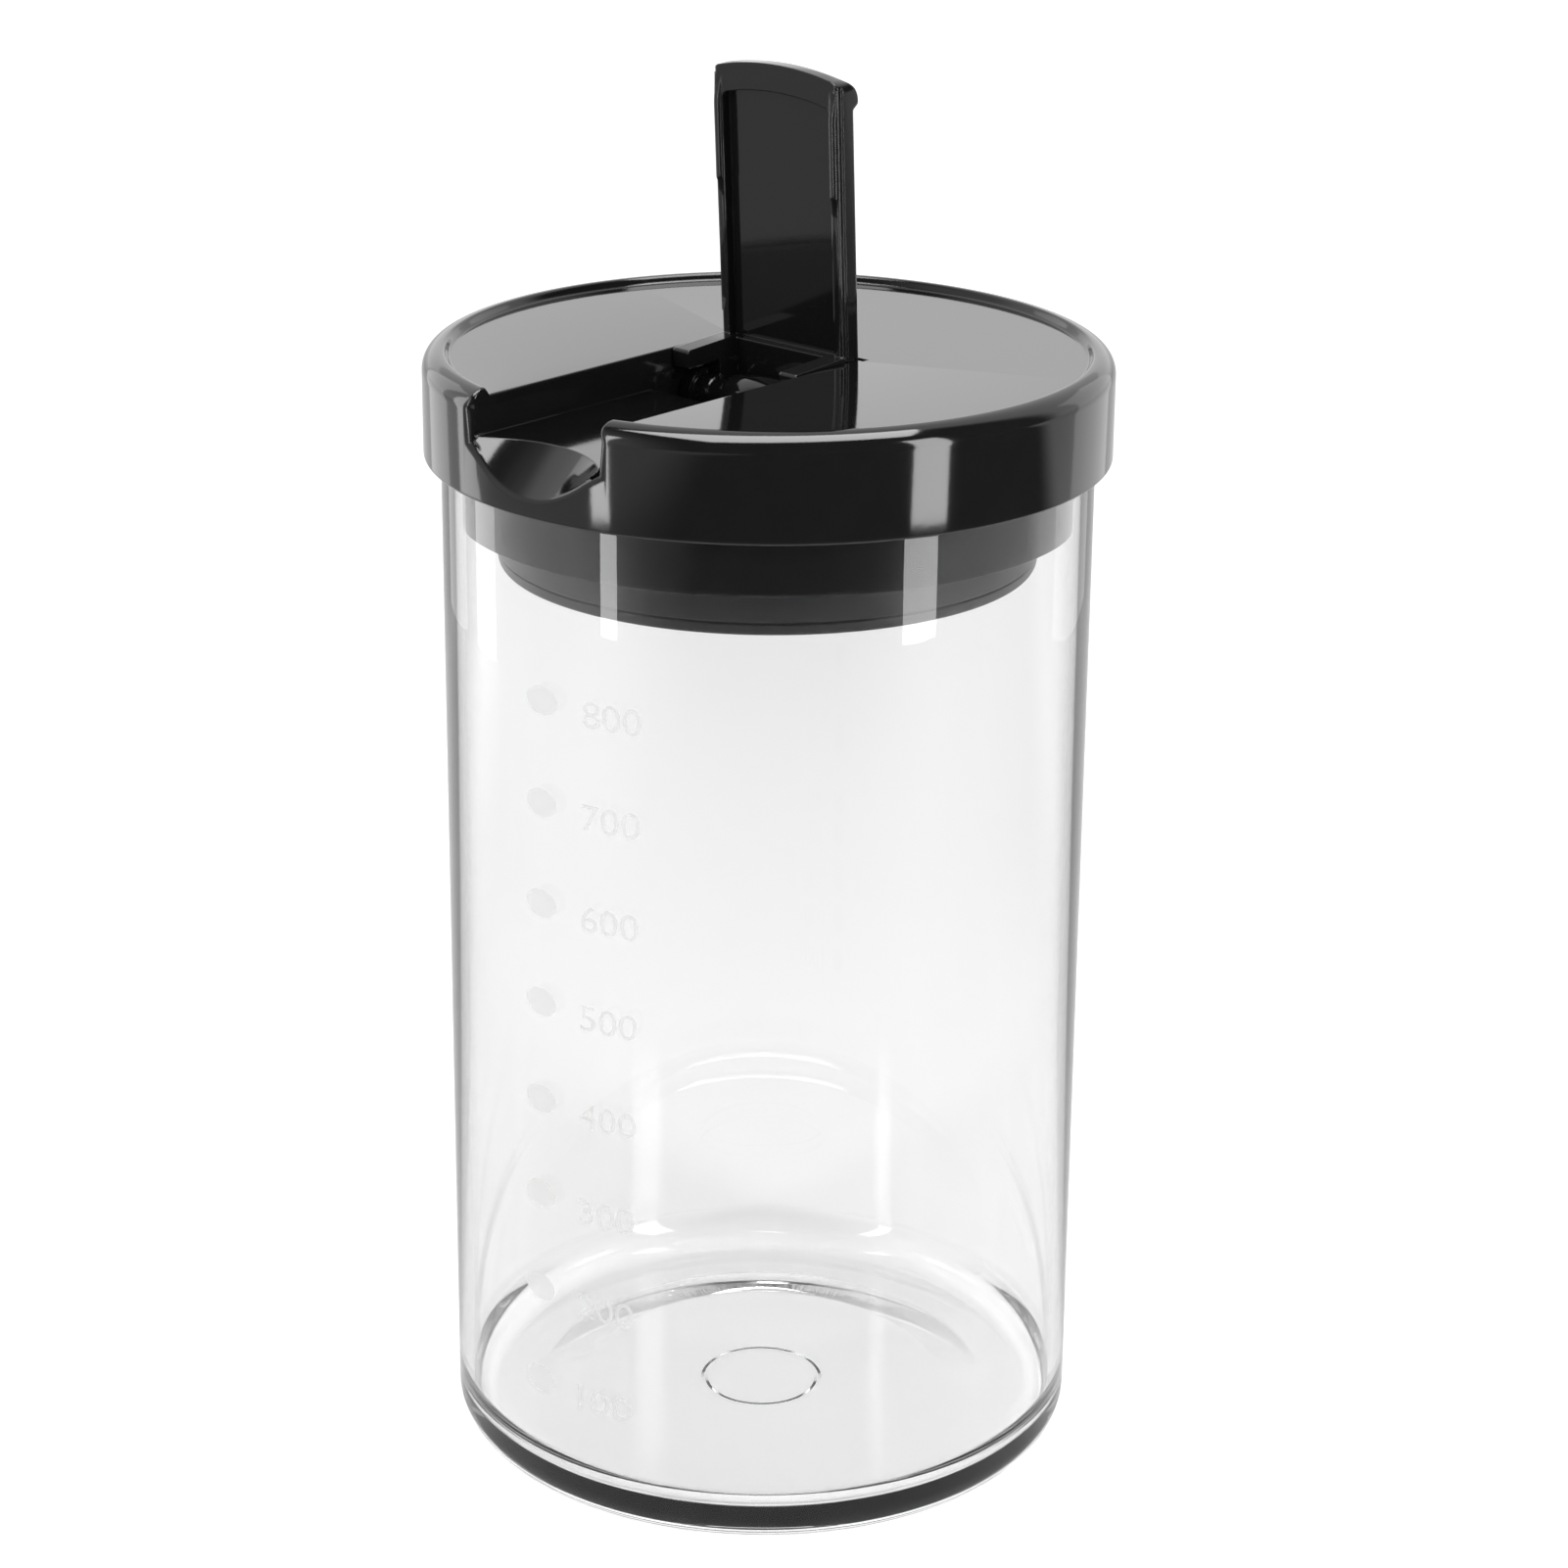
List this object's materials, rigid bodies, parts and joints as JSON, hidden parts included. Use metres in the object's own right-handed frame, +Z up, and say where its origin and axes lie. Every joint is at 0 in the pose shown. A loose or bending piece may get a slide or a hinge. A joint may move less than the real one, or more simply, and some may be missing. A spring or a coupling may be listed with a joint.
{
  "type": "storage jar",
  "caption": "Round glass storage jar with a printed scale and a lift-off lid whose rocker flap opens a pouring channel.",
  "frame": {"origin": "centre of the glass foot, on the surface the jar stands on", "axes": "+Z up along the jar's axis; the spout points to -Y and the flap turns about X"},
  "size_m": [0.1, 0.1, 0.2106],
  "materials": {
    "clear_glass": "clear, polished",
    "scale_print": "screen-printed white ink",
    "black_gloss": "gloss moulded",
    "black_satin": "satin moulded",
    "black_silicone": "smooth silicone rubber"
  },
  "bodies": {
    "jar": {"glass_jar": "clear_glass", "graduation_ovals": "scale_print", "graduation_numbers": "scale_print"},
    "lid": {"lid_cap": "black_gloss", "plug_insert": "black_satin", "seal_ring": "black_silicone"},
    "flap": {"pour_flap": "black_gloss"}
  },
  "joints": [
    {"name": "lid_lift", "type": "slide", "parent": "jar", "child": "lid", "axis": [0, 0, 1], "range_m": [0, 0.12]},
    {"name": "flap_hinge", "type": "hinge", "parent": "lid", "child": "flap", "pos_m": [0, -0.0012, 0.1616], "axis": [1, 0, 0], "range_deg": [-3, 87]}
  ]
}
